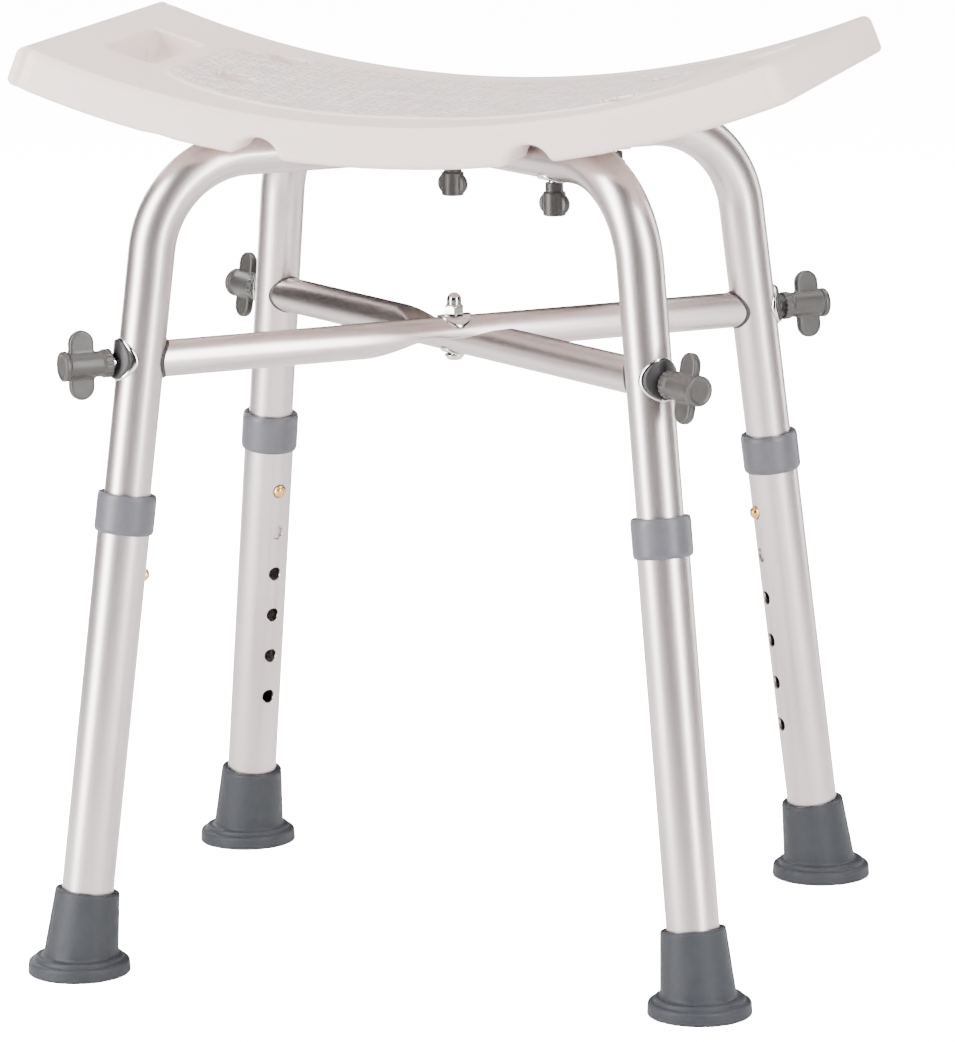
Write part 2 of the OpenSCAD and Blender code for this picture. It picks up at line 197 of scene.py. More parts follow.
def moulded(distance, low, high, cell):
    """The mesh where distance(points) is zero: one vertex in each grid cell that the surface crosses."""
    axes = [np.linspace(a, b, int(round((b - a) / c)) + 1) for a, b, c in zip(low, high, cell)]
    grid = np.stack(np.meshgrid(*axes, indexing="ij"), -1)
    value = distance(grid)
    size = [len(a) - 1 for a in axes]
    total, crossings = np.zeros((*size, 3)), np.zeros(size)
    for axis in range(3):
        v0, v1 = (np.take(value, range(k, size[axis] + k), axis) for k in (0, 1))
        p0, p1 = (np.take(grid, range(k, size[axis] + k), axis) for k in (0, 1))
        crossed = (v0 < 0) != (v1 < 0)
        share = np.where(crossed, v0 / np.where(crossed, v0 - v1, 1), 0)[..., None]
        point = np.where(crossed[..., None], p0 + share * (p1 - p0), 0)
        others = [k for k in range(3) if k != axis]
        for i in (0, 1):
            for j in (0, 1):
                part = [slice(None)] * 3
                part[others[0]] = slice(i, size[others[0]] + i)
                part[others[1]] = slice(j, size[others[1]] + j)
                total += point[tuple(part)]
                crossings += crossed[tuple(part)]
    used = crossings > 0
    number = np.full(size, -1)
    number[used] = np.arange(used.sum())
    points = total[used] / crossings[used][:, None]
    step = 0.02
    for _ in range(4):                   # settle each vertex on the surface
        gap = distance(points)
        slope = np.stack([(distance(points + step * e) - distance(points - step * e)) / (2 * step)
                          for e in np.eye(3)], -1)
        steepness = np.maximum((slope ** 2).sum(-1), 0.05)
        points -= np.clip(gap / steepness, -0.5, 0.5)[:, None] * slope
    faces = []
    for axis in range(3):
        a, b = (axis + 1) % 3, (axis + 2) % 3
        inner = [slice(None)] * 3
        inner[a], inner[b] = slice(1, -1), slice(1, -1)
        v0, v1 = (np.take(value, range(k, size[axis] + k), axis)[tuple(inner)] for k in (0, 1))
        ring = []
        for i, j in ((0, 0), (1, 0), (1, 1), (0, 1)):
            part = [slice(None)] * 3
            part[a], part[b] = slice(i, size[a] - 1 + i), slice(j, size[b] - 1 + j)
            ring.append(number[tuple(part)])
        ring = np.stack(ring, -1)
        faces += [ring[(v0 < 0) & (v1 >= 0)], ring[(v0 >= 0) & (v1 < 0)][:, ::-1]]
    return points, np.concatenate(faces)


def leg_place(k, height=0.0):
    """On the leg's axis at a length up from the floor, with +Z up the leg and +X outwards."""
    return (Matrix.Rotation(HEADING[k], 4, "Z") @ Matrix.Translation((FOOT_R, 0, 0))
            @ Matrix.Rotation(-SPLAY, 4, "Y") @ Matrix.Translation((0, 0, height)))


def bar_place(k, distance):
    """On the brace's axis at a distance from the middle, with +Z outwards and +X down."""
    return (Matrix.Translation((0, 0, BAR_Z)) @ Matrix.Rotation(HEADING[k], 4, "Z")
            @ Matrix.Rotation(math.pi / 2, 4, "Y") @ Matrix.Translation((0, 0, distance)))


# ---- Finishes ----

def hue(code):
    """Linear colour from an sRGB hex value."""
    parts = [int(code[i:i + 2], 16) / 255 for i in (1, 3, 5)]
    return (*(c / 12.92 if c <= 0.04045 else ((c + 0.055) / 1.055) ** 2.4 for c in parts), 1)


def add(tree, kind, sockets, **settings):
    """Adds a node with its settings; sockets holds a value or another node's output for each input."""
    made = tree.nodes.new("ShaderNode" + kind)
    for key, value in settings.items():
        setattr(made, key, value)
    for socket, value in sockets.items():
        if isinstance(value, bpy.types.NodeSocket):
            tree.links.new(value, made.inputs[socket])
        else:
            made.inputs[socket].default_value = value
    return made


def surface(name, **sockets):
    """A new material, its tree and its shader with the given sockets set."""
    made = bpy.data.materials.new(name)
    made.use_nodes = True
    shader = made.node_tree.nodes["Principled BSDF"]
    for socket, value in sockets.items():
        shader.inputs[socket.replace("_", " ")].default_value = value
    return made, made.node_tree, shader


def moulded_polyethylene():
    """Blow-moulded polyethylene: waxy and faintly translucent, with a fine spark-eroded grain and,
    on the raised field, short anti-slip dashes about 9 mm long."""
    made, tree, shader = surface("blow_moulded_polyethylene", Roughness=0.45, IOR=1.51,
                                 Subsurface_Weight=0.12, Subsurface_Scale=4 * MM,
                                 Specular_IOR_Level=0.4)
    place = add(tree, "TexCoord", {}).outputs["Object"]
    field = add(tree, "Attribute", {}, attribute_name="field").outputs["Fac"]
    wander = add(tree, "TexNoise", {"Vector": place, "Scale": 1 / (12 * MM), "Detail": 2.0})
    bent = add(tree, "MixRGB", {"Fac": 0.006, "Color1": place, "Color2": wander.outputs["Color"]},
               blend_type="ADD")
    dashes = add(tree, "TexBrick", {"Vector": bent.outputs["Color"], "Scale": 1.0, "Brick Width": 9.5 * MM,
                                    "Row Height": 4.4 * MM, "Mortar Size": 1.1 * MM, "Mortar Smooth": 0.6,
                                    "Color1": (1, 1, 1, 1), "Color2": (0.35, 0.35, 0.35, 1),
                                    "Mortar": (0, 0, 0, 1)}, offset=0.37)
    raised = add(tree, "Math", {0: dashes.outputs["Color"], 1: field}, operation="MULTIPLY")
    grain = add(tree, "TexNoise", {"Vector": place, "Scale": 1 / (1.1 * MM), "Detail": 3.0})
    height = add(tree, "Math", {0: grain.outputs["Fac"], 1: 0.22, 2: raised.outputs[0]},
                 operation="MULTIPLY_ADD")
    bump = add(tree, "Bump", {"Height": height.outputs[0], "Strength": 0.7, "Distance": 0.6 * MM})
    tree.links.new(bump.outputs[0], shader.inputs["Normal"])
    cloud = add(tree, "TexNoise", {"Vector": place, "Scale": 1 / (60 * MM), "Detail": 3.0})
    base = add(tree, "MixRGB", {"Fac": cloud.outputs["Fac"],
                                "Color1": hue("#ddccc6"), "Color2": hue("#d6c5bf")})
    ground = add(tree, "MixRGB", {"Fac": field, "Color1": base.outputs["Color"], "Color2": hue("#baaaa6")})
    tint = add(tree, "MixRGB", {"Fac": raised.outputs[0], "Color1": ground.outputs["Color"],
                                "Color2": hue("#e9e0dc")})
    tree.links.new(tint.outputs["Color"], shader.inputs["Base Color"])
    return made


def drawn_aluminium():
    """Satin anodised aluminium tube: drawn lengthwise, so a soft highlight runs along it with faint
    die lines. The lines are drawn 0.5 mm apart, coarser than the real ones, so that they show."""
    made, tree, shader = surface("anodised_aluminium_tube", Metallic=1.0, Anisotropic=0.35)
    stock = add(tree, "Attribute", {}, attribute_name="stock").outputs["Vector"]
    along = add(tree, "Mapping", {"Vector": stock, "Scale": (1 / 60, 1, 1)})
    lines = add(tree, "TexNoise", {"Vector": along.outputs[0], "Scale": 1 / (0.5 * MM), "Detail": 2.0})
    cloud = add(tree, "TexNoise", {"Vector": stock, "Scale": 1 / (35 * MM), "Detail": 3.0})
    rough = add(tree, "MapRange", {"Value": lines.outputs["Fac"], "From Min": 0.3, "From Max": 0.7,
                                   "To Min": 0.31, "To Max": 0.35})
    tree.links.new(rough.outputs[0], shader.inputs["Roughness"])
    base = add(tree, "MixRGB", {"Fac": cloud.outputs["Fac"],
                                "Color1": hue("#c8bfbe"), "Color2": hue("#beb5b4")})
    tree.links.new(base.outputs["Color"], shader.inputs["Base Color"])
    bump = add(tree, "Bump", {"Height": lines.outputs["Fac"], "Strength": 0.06, "Distance": 0.02 * MM})
    tree.links.new(bump.outputs[0], shader.inputs["Normal"])
    return made


def grained(name, dark, light, grain, depth, cloud=12.0, **sockets):
    """A moulded or plated surface: a grain in mm with its depth, and a slow drift between two hues."""
    made, tree, shader = surface(name, **sockets)
    place = add(tree, "TexCoord", {}).outputs["Object"]
    fine = add(tree, "TexNoise", {"Vector": place, "Scale": 1 / (grain * MM), "Detail": 3.0})
    bump = add(tree, "Bump", {"Height": fine.outputs["Fac"], "Strength": 0.5, "Distance": depth * MM})
    tree.links.new(bump.outputs[0], shader.inputs["Normal"])
    drift = add(tree, "TexNoise", {"Vector": place, "Scale": 1 / (cloud * MM), "Detail": 4.0})
    base = add(tree, "MixRGB", {"Fac": drift.outputs["Fac"], "Color1": hue(dark), "Color2": hue(light)})
    tree.links.new(base.outputs["Color"], shader.inputs["Base Color"])
    rough = sockets.get("Roughness", 0.5)
    uneven = add(tree, "MapRange", {"Value": drift.outputs["Fac"], "From Min": 0.3, "From Max": 0.7,
                                    "To Min": rough * 0.88, "To Max": rough * 1.12})
    tree.links.new(uneven.outputs[0], shader.inputs["Roughness"])
    return made


SEAT_PLASTIC = moulded_polyethylene()
ALUMINIUM = drawn_aluminium()
# The hues of the collars, knobs and feet are much darker than the real ones, and the black rubber's a
# little. The studio light and the view transform lift them. An export keeps them this dark.
# Polypropylene collars: smooth tool faces, a satin grey
COLLAR_PLASTIC = grained("moulded_polypropylene", "#47474d", "#505056", 0.8, 0.05, Roughness=0.45)
# Glass-filled nylon knobs: a warm dark grey with a slightly mottled skin
KNOB_PLASTIC = grained("moulded_nylon", "#2e2c2a", "#383634", 0.7, 0.06, Roughness=0.4)
# Thermoplastic rubber feet: dull blue-grey, with a scuffed, powdery skin
FOOT_RUBBER = grained("moulded_grey_rubber", "#23252a", "#2e3034", 0.9, 0.09, cloud=8.0, Roughness=0.58,
                     Specular_IOR_Level=0.3)
# Black rubber washers and saddle plugs
BLACK_RUBBER = grained("moulded_black_rubber", "#1d1b1c", "#262425", 0.8, 0.06, Roughness=0.5)
# Nickel-plated steel fasteners: bright, with a faint plating ripple
NICKEL_STEEL = grained("nickel_plated_steel", "#cfcdcb", "#dddbd9", 1.6, 0.01, Metallic=1.0, Roughness=0.16)
# Turned brass buttons and inserts, lightly tarnished
BRASS = grained("turned_brass", "#c79a5b", "#d9b377", 1.0, 0.02, Metallic=1.0, Roughness=0.22)


# ---- Seat ----

def field_edge(u, v):
    """Roughly how far inside the anti-slip field's edge a place is; the field has long elliptical corners
    and a slight waist."""
    half_u, half_v, corner_u, corner_v = 156.0, 84.5, 78.0, 40.0
    waist = 5.0 * np.exp(-(u / 30.0) ** 2)
    x = np.maximum(np.abs(u) - half_u + corner_u, 0) * corner_v / corner_u
    y = np.abs(v) - half_v + waist + corner_v
    return corner_v - np.hypot(x, np.maximum(y, 0)) - np.minimum(y, 0) * (x == 0)


def rolled(p):
    """From the seat laid out flat (along, depth, height above its middle) to its place in the stool."""
    turn, radius = p[..., 0] / SEAT_MID_R, SEAT_MID_R - p[..., 2]
    return np.stack([radius * np.sin(turn), p[..., 1], SEAT_CENTRE_Z - radius * np.cos(turn)], -1)


def along_seat(x):
    """How far along the flat layout a place on the upper face is."""
    return SEAT_MID_R * math.asin(x / SEAT_R)


def seat_distance(p):
    """The seat laid out flat, with its holes, raised field, end grooves and the channels underneath."""
    u, v, h = p[..., 0], p[..., 1], p[..., 2]
    field_rise, field_slope = 1.0, 1.6
    groove_depth, groove_from_end, groove_half = 1.6, 7.5, 2.4
    rise = field_rise * np.clip(field_edge(u, v) / field_slope, 0, 1)
    end_groove = groove_depth * np.exp(-((np.abs(u) - SEAT_HALF_ARC + groove_from_end) / groove_half) ** 2)
    plan = oblong(u, v, SEAT_HALF_ARC, SEAT_DEPTH / 2, 4.5) + end_groove
    form = both(plan, h - SEAT_THICK / 2 - rise, 5.0)
    form = both(form, -h - SEAT_THICK / 2, 3.5)
    handle = oblong(np.abs(u) - along_seat(HANDLE_X), v, HANDLE_W / 2, HANDLE_LEN / 2, 5.0)
    form = both(form, -handle, 2.0)
    for x, y in DRAINS:
        form = both(form, DRAIN_R - np.hypot(u - along_seat(x), v - y), 1.8)
    place = rolled(p)
    x, y, z = place[..., 0], place[..., 1], place[..., 2] - RUN_Z
    for k in ("br", "fr"):
        across = x * math.sin(HEADING[k]) - y * math.cos(HEADING[k])
        form = both(form, CHANNEL_R - np.hypot(across, z), 2.2)
    return both(form, CHANNEL_R - np.hypot(np.abs(x) - CROSS_CHANNEL_X, z), 2.6)


def make_seat():
    margin = 3.0
    half = np.array([SEAT_HALF_ARC + margin, SEAT_DEPTH / 2 + margin, SEAT_THICK / 2 + margin])
    cell = ((1.5, 1.5, 1.25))
    points, faces = moulded(seat_distance, -half, half, cell)
    on_top = points[:, 2] > SEAT_THICK / 2 - 1.0
    inside = np.clip(field_edge(points[:, 0], points[:, 1]) / 2.5 - 0.6, 0, 1) * on_top
    piece("seat_moulding", (rolled(points), faces), SEAT_PLASTIC, "frame", ["seat"], sharp=60,
          field=inside)


# ---- Tubes ----

def tube_rings(stations, radii, shape, segments=64):
    """A capped tube along a path in the XZ plane. stations are (x, z, heading), radii one for each."""
    rings, stock, run = [], [], 0.0
    for i, ((x, z, heading), radius) in enumerate(zip(stations, radii)):
        if i:
            run += math.hypot(x - stations[i - 1][0], z - stations[i - 1][1])
        for j in range(segments):
            a = 2 * math.pi * j / segments
            n, b = radius * math.cos(a), radius * math.sin(a)
            rings.append((x + n * math.sin(heading), -b, z - n * math.cos(heading)))
            stock.append((run, n, b))
    faces = join_rings(len(stations), segments)
    faces += [tuple(range(segments))[::-1], tuple(range(len(rings) - segments, len(rings)))]
    return [shape(p) for p in rings], stock, faces


def pressed(p, level, side, radius, half, ramp):
    """Moves a point of a level tube out of the other tube's half of a crossing, easing out over a ramp."""
    x, y, z = p
    share = min(max((half + ramp - abs(x)) / ramp, 0.0), 1.0)
    share = share * share * (3 - 2 * share)
    limit = -radius + (radius + 0.05) * share
    return (x, y, level + side * max(side * (z - level), limit))


def make_frame_tube(number, k, side):
    """One U tube: up a leg, round the bend, level under the seat and down again. Each open end turns
    in to the bore."""
    bend_z = RUN_Z - BEND_R
    bend_x = FOOT_R - BEND_R / math.cos(SPLAY) - bend_z * math.tan(SPLAY)
    end_s = TUBE_END_Z / math.cos(SPLAY)
    bend_s = bend_z / math.cos(SPLAY) + (FOOT_R - bend_z * math.tan(SPLAY) - bend_x) * math.sin(SPLAY)
    up = math.pi / 2 + SPLAY             # heading up the leg, from +X towards +Z
    bore_shown, edge, leg_rings = 6, 0.4, 14
    leg = [(FOOT_R - s * math.sin(SPLAY), s * math.cos(SPLAY), up)
           for s in [end_s + bore_shown, end_s, end_s, end_s + edge]
           + list(np.linspace(end_s + 1, bend_s, leg_rings))]
    inner = TUBE_R - TUBE_WALL
    radii = [inner, inner, TUBE_R - edge, TUBE_R] + [TUBE_R] * leg_rings
    bend = [(bend_x + BEND_R * math.cos(a), bend_z + BEND_R * math.sin(a), a + math.pi / 2)
            for a in np.linspace(SPLAY, math.pi / 2, 26)[1:]]
    run = [(x, RUN_Z, math.pi) for x in np.linspace(bend_x, 0, 40)[1:]]
    half = leg + bend + run
    other = [(-x, z, 2 * math.pi - heading) for x, z, heading in half[-2::-1]]
    sizes = radii + [TUBE_R] * (len(bend) + len(run))

    def shape(p):
        near = abs(p[0]) < LAP_HALF + LAP_RAMP
        return pressed(p, RUN_Z, side, TUBE_R, LAP_HALF, LAP_RAMP) if near else p

    vertices, stock, faces = tube_rings(half + other, sizes + sizes[-2::-1], shape)
    piece(f"frame_tube_{number}", (vertices, faces), ALUMINIUM, "frame", [f"u_frame_{number}"],
          Matrix.Rotation(HEADING[k], 4, "Z"), stock=stock)


def leg_face(down, side):
    """How far out from the middle the inner face of a leg is, at a place off the brace axis."""
    reach = math.sqrt((TUBE_R + 0.05) ** 2 - side * side)
    return LEG_R_AT_BAR + down * math.tan(SPLAY) - reach / math.cos(SPLAY)


def make_brace_bar(name, k, side):
    """A brace bar, pressed half flat at the crossing and hollowed at each end to follow the leg."""
    half_len = LEG_R_AT_BAR - TUBE_R / math.cos(SPLAY) - 3.0
    end_ramp, leg_gap, bore_shown, edge = 12, 1.3, 8, 0.4

    def shape(p):
        x, y, z = pressed(p, BAR_Z, side, BAR_R, BAR_LAP_HALF, BAR_LAP_RAMP)
        share = max((abs(x) - half_len + end_ramp) / end_ramp, 0.0)
        return (x + math.copysign(share * (leg_face(BAR_Z - z, y) - leg_gap - half_len), x), y, z)

    places = [0.0, *np.linspace(2, 70, 30), *np.linspace(80, half_len - end_ramp, 4),
              *np.linspace(half_len - 10, half_len - 1, 5), half_len - edge, half_len]
    radii = [BAR_R] * (len(places) - 1) + [BAR_R - edge]
    places += [half_len, half_len - bore_shown]
    radii += [BAR_R - BAR_WALL, BAR_R - BAR_WALL]
    stations = [(-x, BAR_Z, 0.0) for x in places[::-1]] + [(x, BAR_Z, 0.0) for x in places[1:]]
    vertices, stock, faces = tube_rings(stations, radii[::-1] + radii[1:], shape)
    piece(f"{name}_tube", (vertices, faces), ALUMINIUM, "frame", [name],
          Matrix.Rotation(HEADING[k], 4, "Z"), stock=stock)


def pierced_tube():
    """A leg extension with its row of height holes on the -X side, each with a broken edge."""
    columns, wide = 64, 8                # a hole's patch is 8 columns wide
    pitch = 2 * math.pi * EXT_R / columns
    middles = [BUTTON_S - i * HOLE_PITCH for i in range(HOLE_COUNT)][::-1]
    rows = [EXT_START]
    for middle in middles:
        rows += [middle + (i - wide / 2) * pitch for i in range(wide + 1)]
    rows += [EXT_END]
    first = columns // 2 - wide // 2
    vertices, stock, faces = [], [], []

    def point(radius, around, s):
        a = around / EXT_R
        vertices.append((radius * math.cos(a), radius * math.sin(a), s))
        stock.append((s, radius * math.cos(a), radius * math.sin(a)))
        return len(vertices) - 1

    rims = {}
    for radius, flip in ((EXT_R, False), (EXT_BORE_R, True)):
        grid = [[point(radius, j * pitch, s) for j in range(columns)] for s in rows]
        made = []
        for i in range(len(rows) - 1):
            in_patch = 1 <= i < len(rows) - 2 and (i - 1) % (wide + 1) < wide
            for j in range(columns):
                if in_patch and first <= j < first + wide:
                    continue
                made.append((grid[i][j], grid[i][(j + 1) % columns],
                             grid[i + 1][(j + 1) % columns], grid[i + 1][j]))
        for n, middle in enumerate(middles):
            low = 1 + n * (wide + 1)
            edge = ([(low, first + j) for j in range(wide)] + [(low + i, first + wide) for i in range(wide)]
                    + [(low + wide, first + wide - j) for j in range(wide)]
                    + [(low + wide - i, first) for i in range(wide)])
            ring = [grid[i][j] for i, j in edge]
            levels = [(0.5, radius), (1.0, radius)]
            if not flip:                 # break the outer edge
                levels[1:] = [(0.9, radius), (1.0, radius - 0.3)]
            for share, level in levels:
                following = []
                for i, j in edge:
                    x, y = (j - columns // 2) * pitch, rows[i] - middle
                    reach = math.hypot(x, y)
                    at = reach + (HOLE_R - reach) * share
                    following.append(point(level, math.pi * EXT_R + x / reach * at, middle + y / reach * at))
                made += [(ring[q], ring[(q + 1) % len(ring)], following[(q + 1) % len(ring)], following[q])
                         for q in range(len(ring))]
                ring = following
            rims.setdefault(n, []).append(ring)
        faces += [f[::-1] for f in made] if flip else made
        rims.setdefault("ends", []).append((grid[0], grid[-1]))
    for n in range(len(middles)):
        outer, inner = rims[n]
        faces += [(outer[q], outer[(q + 1) % len(outer)], inner[(q + 1) % len(outer)], inner[q])
                  for q in range(len(outer))]
    (low_out, high_out), (low_in, high_in) = rims["ends"]
    for j in range(columns):
        m = (j + 1) % columns
        faces += [(low_in[j], low_in[m], low_out[m], low_out[j]),
                  (high_out[j], high_out[m], high_in[m], high_in[j])]
    return vertices, faces, stock


# ---- Feet, collars and buttons ----

def foot_distance(p):
    """A wide sole that stands square on the floor, with a cone that leans with the leg."""
    x, y, z = p[..., 0], p[..., 1], p[..., 2]
    out = np.hypot(x, y)
    sole = both(out - SOLE_R + 0.06 * z, z - SOLE_TOP, 1.6)
    ledge = both(out - LEDGE_R, z - LEDGE_TOP, 1.2)
    lean, s = x * math.cos(SPLAY) + z * math.sin(SPLAY), z * math.cos(SPLAY) - x * math.sin(SPLAY)
    round_leg = np.hypot(lean, y)
    taper = (CONE_R - CONE_TOP_R) / (CONE_TOP - CONE_LOW)
    cone = both(round_leg - CONE_R + taper * (s - CONE_LOW), s - CONE_TOP, 1.0)
    form = both(either(either(sole, ledge, 0.8), cone, 1.4), -z, 0.8)
    pocket = both(round_leg - EXT_R - GAP, BOOT_FLOOR - s, 0.5)
    return both(form, -pocket, 0.5)


def make_leg(k, tube, foot):
    body, place = f"leg_{k}", leg_place(k)
    vertices, faces, stock = tube
    piece(f"extension_tube_{k}", (vertices, faces), ALUMINIUM, body, [f"leg_extension_{k}"], place,
          stock=stock)
    base, lip = COLLAR_TOP - COLLAR_LEN, COLLAR_TOP - 2.0
    sleeve_r, end_r = EXT_R + GAP, COLLAR_R - 0.5
    collar = turned([(sleeve_r, base, 0.4), (end_r, base, 0.9), (COLLAR_R, base + 2.2, 0.6),
                     (COLLAR_R, COLLAR_TOP - 2.4, 0.6), (end_r, COLLAR_TOP, 1.0),
                     (EXT_BORE_R + 0.2, COLLAR_TOP, 0.6), (EXT_BORE_R, lip, 0.2),
                     (sleeve_r, lip, 0.2)], loop=True)
    piece(f"collar_ring_{k}", collar, COLLAR_PLASTIC, body, [f"collar_{k}"], place)
    sole_place = Matrix.Rotation(HEADING[k], 4, "Z") @ Matrix.Translation((FOOT_R, 0, 0))
    piece(f"foot_boot_{k}", foot, FOOT_RUBBER, body, [f"rubber_foot_{k}"], sole_place, sharp=60)
    flange_r, flange_low, flange_top, pin_r = 5.5, 8.8, 10.0, 3.8
    button = turned([(0, flange_low, 0), (flange_r, flange_low, 0.2), (flange_r, flange_top, 0.3),
                     (pin_r, flange_top, 0.2), (pin_r, 15.0, 1.4), (2.4, 16.9, 1.6), (0, 17.2, 0)],
                    segments=40, steps=6)
    piece(f"button_pin_{k}", button, BRASS, f"button_{k}", [f"snap_button_{k}"],
          leg_place(k, BUTTON_S) @ Matrix.Rotation(-math.pi / 2, 4, "Y"))


# ---- Braces, washers and plugs ----

def on_tube(mesh, radius):
    """Bends a flat washer round a tube whose axis is X; its own Z is the height above the tube."""
    vertices, faces = mesh
    return [(x, y, math.sqrt((radius + z) ** 2 - y * y)) for x, y, z in vertices], faces


def washer(bore, radius, low, high, edge):
    """A flat ring with rounded rims and enough rings between them to bend."""
    across = [(r, low, 0) for r in np.linspace(bore, radius - edge, 7)[:-1]]
    back = [(r, high, 0) for r in np.linspace(radius - edge, bore, 7)[1:]]
    return turned(across + [(radius, low, edge), (radius, high, edge)] + back, loop=True, steps=3)


def plug():
    """The saddle between a brace bar's end and the leg: a short sleeve whose outer end fits the leg."""
    rim_r, bore_r, depth = 10.6, 3.2, 9.0
    rings = ((8.5, -depth), (8.7, -1.6), (10.3, -1.5), (rim_r, -1.2), (rim_r, -0.4), (10.2, 0.0),
             (7.0, 0.0), (bore_r, 0.0), (bore_r, -depth))
    vertices, segments = [], 64
    for radius, back in rings:
        for j in range(segments):
            a = 2 * math.pi * j / segments
            down, side = radius * math.cos(a), radius * math.sin(a)
            vertices.append((down, side, leg_face(down, side) + back))
    return vertices, join_rings(len(rings), segments, loop=True)


def make_braces():
    make_brace_bar("brace_bar_upper", "br", 1)
    make_brace_bar("brace_bar_lower", "fr", -1)
    disc = washer(WASHER_BORE, radius=11.6, low=GAP, high=GAP + WASHER_T, edge=0.5)
    pad = washer(WASHER_BORE, radius=10.8, low=2 * GAP + WASHER_T, high=GAP + WASHER_T + RUBBER_T,
                 edge=0.6)
    for k in CORNERS:
        first = k == "fl"            # the first of each four stands for their shared CAD node
        piece(f"saddle_plug_{k}", plug(), BLACK_RUBBER, "frame",
              ["brace_end_plugs"] if first else (), bar_place(k, 0))
        facing = (leg_place(k, BAR_Z / math.cos(SPLAY)) @ Matrix.Rotation(math.pi / 2, 4, "Y"))
        piece(f"saddle_washer_{k}", on_tube(disc, TUBE_R), NICKEL_STEEL, "frame",
              ["knob_saddle_washers"] if first else (), facing)
        piece(f"rubber_washer_{k}", on_tube(pad, TUBE_R), BLACK_RUBBER, "frame",
              ["knob_rubber_washers"] if first else (), facing)
    centre = Matrix.Translation((0, 0, BAR_Z))
    upper = centre @ Matrix.Rotation(HEADING["br"], 4, "Z")
    lower = centre @ Matrix.Rotation(HEADING["fr"], 4, "Z") @ Matrix.Rotation(math.pi, 4, "X")
    for name, radius, replaces, place in (("centre_washer_upper", 9.6, ["centre_washers"], upper),
                                          ("centre_washer_lower", 8.0, (), lower)):
        centre_disc = washer(WASHER_BORE, radius, low=GAP, high=GAP + WASHER_T, edge=0.5)
        piece(name, on_tube(centre_disc, BAR_R), NICKEL_STEEL, "frame", replaces, place)
    nut, faces = moulded(nut_distance, (-8, -8, -1), (8, 8, 14), (0.35, 0.35, 0.35))
    piece("centre_cap_nut", (nut, faces), NICKEL_STEEL, "frame", ["centre_nut"],
          Matrix.Translation((0, 0, BAR_Z + BAR_R + WASHER_T + 2 * GAP)) @ Matrix.Rotation(0.3, 4, "Z"),
          sharp=50)
    low, tip = -BAR_R - WASHER_T - 2 * GAP, BAR_R + 9
    head_r, shank_r = 5.6, 3.0
    bolt = turned([(0, low - 3.4, 0), (3.6, low - 3.2, 1.0), (head_r, low - 0.8, 0.8), (head_r, low, 0.2),
                   (shank_r, low, 0.1), (shank_r, tip, 0.5), (0, tip, 0)], segments=48)
    piece("centre_coach_bolt", bolt, NICKEL_STEEL, "frame", ["centre_bolt"], centre)


def nut_distance(p):
    """A hexagon nut with a domed cap and chamfered corners."""
    x, y, z = p[..., 0], p[..., 1], p[..., 2]
    half_across, height, dome_r, dome_low, dome_centre = 5.0, 5.2, 4.1, 4.0, 7.8
    chamfer_r, chamfer_below = 8.0, 1.6
    flats = np.max([np.abs(x * math.cos(a) + y * math.sin(a)) for a in (0, math.pi / 3, 2 * math.pi / 3)], 0)
    hexagon = both(both(flats - half_across, z - height, 0.2), -z, 0.2)
    hexagon = both(hexagon, np.sqrt(x * x + y * y + (z + chamfer_below) ** 2) - chamfer_r, 0.2)
    dome = np.maximum(np.hypot(x, y) - dome_r, dome_low - z)
    cap = np.sqrt(x * x + y * y + (z - dome_centre) ** 2) - dome_r
    return either(hexagon, np.where(z > dome_centre, cap, dome), 0.5)


# ---- Knobs ----

def wing_distance(x, y, z, start, width, span, thick):
    """Two flat wings with round ends, which start at a height on the knob's axis."""
    middle = start + width / 2
    reach = (span - width) / 2
    lobe = np.hypot(np.maximum(np.abs(x) - reach, 0), z - middle) - width / 2
    return both(lobe, np.abs(y) - thick / 2, 1.4)


def cylinder_distance(out, z, radius, low, high, rounding):
    return both(both(out - radius, z - high, rounding), low - z, rounding)


def brace_knob_distance(p):
    """Spool with a ribbed base flange, a plain barrel, two flat wings and an end disc."""
    x, y, z = p[..., 0], p[..., 1], p[..., 2]
    out = np.hypot(x, y)
    ribs = 0.22 * np.cos(18 * np.arctan2(y, x))
    base = cylinder_distance(out, z, radius=7.7, low=0.0, high=5.0, rounding=0.7)
    base = base - ribs * (z < 4.2) * (out > 6)
    barrel = cylinder_distance(out, z, radius=7.0, low=3.0, high=26.0, rounding=0.4)
    wings = wing_distance(x, y, z, start=9.6, width=14.0, span=38.0, thick=4.8)
    end_disc = cylinder_distance(out, z, radius=8.2, low=24.6, high=28.0, rounding=0.9)
    dish = cylinder_distance(out, z, radius=6.3, low=27.6, high=30.0, rounding=0.1)
    form = either(either(either(base, barrel, 0.8), wings, 1.6), end_disc, 0.8)
    return np.maximum(form, -dish)


def seat_knob_distance(p):
    """A narrow neck, a wider barrel and two short flat wings."""
    x, y, z = p[..., 0], p[..., 1], p[..., 2]
    out = np.hypot(x, y)
    neck = cylinder_distance(out, z, radius=4.9, low=0.0, high=7.0, rounding=0.4)
    barrel = cylinder_distance(out, z, radius=6.2, low=5.0, high=18.0, rounding=0.9)
    wings = wing_distance(x, y, z, start=5.6, width=12.0, span=19.0, thick=4.0)
    return either(either(neck, barrel, 0.4), wings, 1.0)


